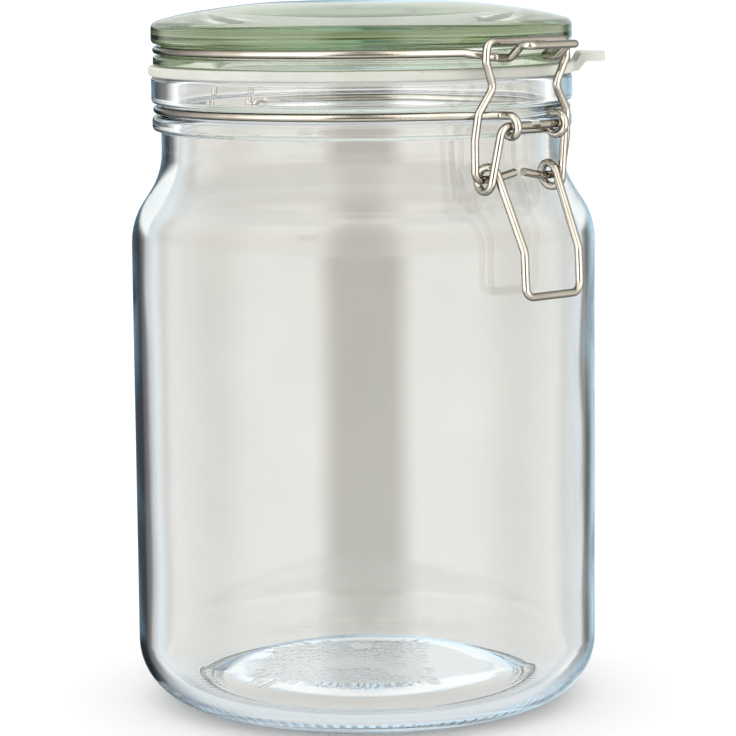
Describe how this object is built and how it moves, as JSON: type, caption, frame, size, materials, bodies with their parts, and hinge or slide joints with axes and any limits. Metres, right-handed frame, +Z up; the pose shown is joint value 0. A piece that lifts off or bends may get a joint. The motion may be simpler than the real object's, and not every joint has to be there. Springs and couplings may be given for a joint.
{
  "type": "bail clamp jar",
  "caption": "Round glass storage jar with a domed glass lid, a rubber seal ring with a pull tab and a bent wire clasp.",
  "frame": {"origin": "centre of the standing ring, in the plane that the jar stands on", "axes": "+Z up along the jar's axis, -Y towards the clasp, +Y towards the lid's hinge, +X to the right of someone facing the clasp"},
  "size_m": [0.13, 0.1417, 0.1965],
  "materials": {
    "clear_glass": "clear, faintly blue",
    "green_glass": "clear, faintly green",
    "seal_rubber": "milky translucent rubber",
    "steel_wire": "bright drawn stainless wire"
  },
  "bodies": {
    "jar": {"jar_glass": "clear_glass", "neck_wire": "steel_wire"},
    "lid": {"lid_glass": "green_glass", "gasket": "seal_rubber", "lid_wire": "steel_wire"},
    "lever": {"lever_wire": "steel_wire"},
    "bail": {"bail_wire": "steel_wire"}
  },
  "joints": [
    {"name": "lid_open", "type": "hinge", "parent": "jar", "child": "lid", "pos_m": [0, 0.0635, 0.16405], "axis": [-1, 0, 0], "range_deg": [0, 190]},
    {"name": "lever_lift", "type": "hinge", "parent": "jar", "child": "lever", "pos_m": [0, -0.066, 0.16405], "axis": [-1, 0, 0], "range_deg": [0, 140]},
    {"name": "bail_swing", "type": "hinge", "parent": "lever", "child": "bail", "pos_m": [0, -0.0604, 0.14995], "axis": [1, 0, 0], "range_deg": [0, 103]}
  ],
  "couplings": [
    {"joint": "bail_swing", "follows": "lever_lift", "ratio": 0.73}
  ]
}
